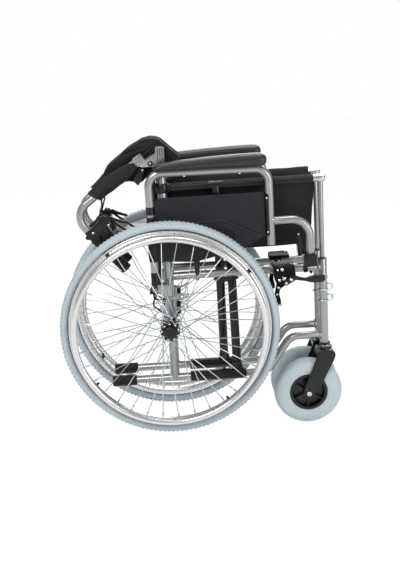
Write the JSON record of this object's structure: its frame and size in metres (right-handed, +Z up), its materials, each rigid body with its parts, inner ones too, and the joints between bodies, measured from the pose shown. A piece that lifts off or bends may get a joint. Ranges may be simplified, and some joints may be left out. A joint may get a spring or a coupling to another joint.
{
  "type": "wheelchair",
  "caption": "Folded self-propelled wheelchair with spoked rear wheels, casters, flip-back armrests, a half-folding back, hand brakes and parking brakes",
  "frame": {"origin": "on the ground under the middle of the chair's overall box", "axes": "+X forward, +Y to the rider's left, +Z up"},
  "size_m": [0.799, 0.303, 0.823],
  "materials": {
    "frame_paint": "warm grey metallic paint, satin",
    "casting": "cast, matt",
    "rail_metal": "satin",
    "alloy": "satin anodised",
    "spoke_steel": "drawn wire",
    "tyre": "blue-grey, matt, low square tread",
    "black_plastic": "moulded, satin black",
    "black_paint": "black, semi-gloss",
    "arm_pad": "soft moulded skin, dark grey",
    "cloth": "woven nylon, charcoal",
    "grip_rubber": "ribbed, matt",
    "cable": "smooth black sleeve"
  },
  "bodies": {
    "right_side": {"right_side_frame": "frame_paint", "right_rear_tip": "black_plastic", "right_seat_guide": "black_plastic", "right_back_hinge": "casting", "right_lower_cable": "cable", "right_axle_and_drum": "casting", "right_armrest_socket": "black_plastic", "right_brake_clamp": "black_paint"},
    "right_arm": {"right_cross_arm": "black_paint"},
    "right_rail": {"right_seat_rail": "rail_metal"},
    "right_seat_half": {"right_seat_cloth": "cloth"},
    "right_cane": {"right_back_cane": "frame_paint", "right_push_grip": "grip_rubber", "right_upper_cable": "cable", "right_back_cloth_outer": "cloth"},
    "right_hand_lever": {"right_hand_brake_lever": "black_plastic"},
    "right_back_centre": {"right_back_cloth_inner": "cloth"},
    "right_armrest": {"right_armrest_frame": "frame_paint", "right_armrest_pad": "arm_pad", "right_skirt_guard": "cloth"},
    "right_wheel": {"right_tyre": "tyre", "right_rim": "alloy", "right_handrim": "alloy", "right_hub_and_spokes": "spoke_steel", "right_hub_cap": "black_plastic"},
    "right_fork": {"right_caster_fork": "black_plastic"},
    "right_caster": {"right_caster_tyre": "tyre", "right_caster_hub": "black_plastic"},
    "right_lever": {"right_brake_lever": "black_plastic"},
    "right_shoe": {"right_brake_shoe": "black_paint"},
    "left_side": {"left_side_frame": "frame_paint", "left_rear_tip": "black_plastic", "left_seat_guide": "black_plastic", "left_back_hinge": "casting", "left_lower_cable": "cable", "left_axle_and_drum": "casting", "left_armrest_socket": "black_plastic", "left_brake_clamp": "black_paint"},
    "left_arm": {"left_cross_arm": "black_paint"},
    "left_rail": {"left_seat_rail": "rail_metal"},
    "left_seat_half": {"left_seat_cloth": "cloth"},
    "left_cane": {"left_back_cane": "frame_paint", "left_push_grip": "grip_rubber", "left_upper_cable": "cable", "left_back_cloth_outer": "cloth"},
    "left_hand_lever": {"left_hand_brake_lever": "black_plastic"},
    "left_back_centre": {"left_back_cloth_inner": "cloth"},
    "left_armrest": {"left_armrest_frame": "frame_paint", "left_armrest_pad": "arm_pad", "left_skirt_guard": "cloth"},
    "left_wheel": {"left_tyre": "tyre", "left_rim": "alloy", "left_handrim": "alloy", "left_hub_and_spokes": "spoke_steel", "left_hub_cap": "black_plastic"},
    "left_fork": {"left_caster_fork": "black_plastic"},
    "left_caster": {"left_caster_tyre": "tyre", "left_caster_hub": "black_plastic"},
    "left_lever": {"left_brake_lever": "black_plastic"},
    "left_shoe": {"left_brake_shoe": "black_paint"}
  },
  "joints": [
    {"name": "fold", "type": "hinge", "parent": "right_side", "child": "right_arm", "pos_m": [0.0973, -0.048, 0.15041], "axis": [-0.9981, 0, -0.061], "range_deg": [0, 42.9]},
    {"name": "arms_cross", "type": "hinge", "parent": "right_arm", "child": "left_arm", "pos_m": [0.06401, 0, 0.4244], "axis": [0.9981, 0, 0.061], "range_deg": [0, 86]},
    {"name": "left_side_follows", "type": "hinge", "parent": "left_arm", "child": "left_side", "pos_m": [0.06436, 0.048, 0.14839], "axis": [-0.9981, 0, -0.061], "range_deg": [0, 43]},
    {"name": "left_rail_follows", "type": "hinge", "parent": "right_arm", "child": "left_rail", "pos_m": [0.06366, 0.048, 0.70039], "axis": [0.9981, 0, 0.061], "range_deg": [0, 43]},
    {"name": "right_rail_follows", "type": "hinge", "parent": "left_arm", "child": "right_rail", "pos_m": [0.03072, -0.048, 0.69838], "axis": [-0.9981, 0, -0.061], "range_deg": [0, 43]},
    {"name": "right_seat_half_swing", "type": "hinge", "parent": "right_rail", "child": "right_seat_half", "pos_m": [0.08071, -0.014, 0.71646], "axis": [0.9981, 0, 0.061], "range_deg": [0, 80.2], "deforming": ["right_seat_cloth"]},
    {"name": "left_seat_half_swing", "type": "hinge", "parent": "left_rail", "child": "left_seat_half", "pos_m": [0.08071, 0.014, 0.71646], "axis": [-0.9981, 0, -0.061], "range_deg": [0, 80.2], "deforming": ["left_seat_cloth"]},
    {"name": "right_back_fold", "type": "hinge", "parent": "right_side", "child": "right_cane", "pos_m": [-0.14524, -0.048, 0.75775], "axis": [0, 1, 0], "range_deg": [0, 126]},
    {"name": "right_back_cloth_spread", "type": "slide", "parent": "right_cane", "child": "right_back_centre", "axis": [0, 1, 0], "range_m": [0, 0.178], "deforming": ["right_back_cloth_inner", "right_back_cloth_outer"]},
    {"name": "right_hand_lever_pull", "type": "hinge", "parent": "right_cane", "child": "right_hand_lever", "pos_m": [-0.26967, -0.048, 0.61031], "axis": [0, 1, 0], "range_deg": [0, 9], "stiffness_Nm_per_rad": 1, "springref_deg": -5.73},
    {"name": "right_armrest_flip", "type": "hinge", "parent": "right_side", "child": "right_armrest", "pos_m": [-0.13328, -0.076, 0.41484], "axis": [0, -1, 0], "range_deg": [0, 100]},
    {"name": "right_wheel_spin", "type": "hinge", "parent": "right_side", "child": "right_wheel", "pos_m": [-0.0945, -0.107, 0.305], "axis": [0, 1, 0], "continuous": true},
    {"name": "right_fork_swivel", "type": "hinge", "parent": "right_side", "child": "right_fork", "pos_m": [0.34437, -0.048, 0.23866], "axis": [-0.061, 0, 0.9981], "range_deg": [-5, 185]},
    {"name": "right_caster_spin", "type": "hinge", "parent": "right_fork", "child": "right_caster", "pos_m": [0.3019, -0.048, 0.0976], "axis": [0, 1, 0], "continuous": true},
    {"name": "right_parking_lever", "type": "hinge", "parent": "right_side", "child": "right_lever", "pos_m": [0.23878, -0.094, 0.4416], "axis": [0, -1, 0], "range_deg": [0, 65]},
    {"name": "right_parking_shoe", "type": "hinge", "parent": "right_side", "child": "right_shoe", "pos_m": [0.2069, -0.082, 0.43865], "axis": [0, -1, 0], "range_deg": [0, 26]},
    {"name": "left_back_fold", "type": "hinge", "parent": "left_side", "child": "left_cane", "pos_m": [-0.14524, 0.048, 0.75775], "axis": [0, 1, 0], "range_deg": [0, 126]},
    {"name": "left_back_cloth_spread", "type": "slide", "parent": "left_cane", "child": "left_back_centre", "axis": [0, -1, 0], "range_m": [0, 0.178], "deforming": ["left_back_cloth_inner", "left_back_cloth_outer"]},
    {"name": "left_hand_lever_pull", "type": "hinge", "parent": "left_cane", "child": "left_hand_lever", "pos_m": [-0.26967, 0.048, 0.61031], "axis": [0, 1, 0], "range_deg": [0, 9], "stiffness_Nm_per_rad": 1, "springref_deg": -5.73},
    {"name": "left_armrest_flip", "type": "hinge", "parent": "left_side", "child": "left_armrest", "pos_m": [-0.13328, 0.076, 0.41484], "axis": [0, -1, 0], "range_deg": [0, 100]},
    {"name": "left_wheel_spin", "type": "hinge", "parent": "left_side", "child": "left_wheel", "pos_m": [-0.0945, 0.107, 0.305], "axis": [0, 1, 0], "continuous": true},
    {"name": "left_fork_swivel", "type": "hinge", "parent": "left_side", "child": "left_fork", "pos_m": [0.34437, 0.048, 0.23866], "axis": [0.061, 0, -0.9981], "range_deg": [-5, 185]},
    {"name": "left_caster_spin", "type": "hinge", "parent": "left_fork", "child": "left_caster", "pos_m": [0.3019, 0.048, 0.0976], "axis": [0, 1, 0], "continuous": true},
    {"name": "left_parking_lever", "type": "hinge", "parent": "left_side", "child": "left_lever", "pos_m": [0.23878, 0.094, 0.4416], "axis": [0, -1, 0], "range_deg": [0, 65]},
    {"name": "left_parking_shoe", "type": "hinge", "parent": "left_side", "child": "left_shoe", "pos_m": [0.2069, 0.082, 0.43865], "axis": [0, -1, 0], "range_deg": [0, 26]}
  ],
  "couplings": [
    {"joint": "arms_cross", "follows": "fold", "ratio": 2},
    {"joint": "left_side_follows", "follows": "fold", "ratio": 1},
    {"joint": "left_rail_follows", "follows": "fold", "ratio": 1},
    {"joint": "right_rail_follows", "follows": "fold", "ratio": 1},
    {"joint": "right_seat_half_swing", "follows": "fold", "ratio": 1.8648},
    {"joint": "left_seat_half_swing", "follows": "fold", "ratio": 1.8648},
    {"joint": "right_back_cloth_spread", "follows": "fold", "m_per_rad": 0.23639},
    {"joint": "right_parking_shoe", "follows": "right_parking_lever", "ratio": 0.38461},
    {"joint": "left_back_fold", "follows": "right_back_fold", "ratio": 1},
    {"joint": "left_back_cloth_spread", "follows": "fold", "m_per_rad": 0.23639},
    {"joint": "left_parking_shoe", "follows": "left_parking_lever", "ratio": 0.38461}
  ]
}
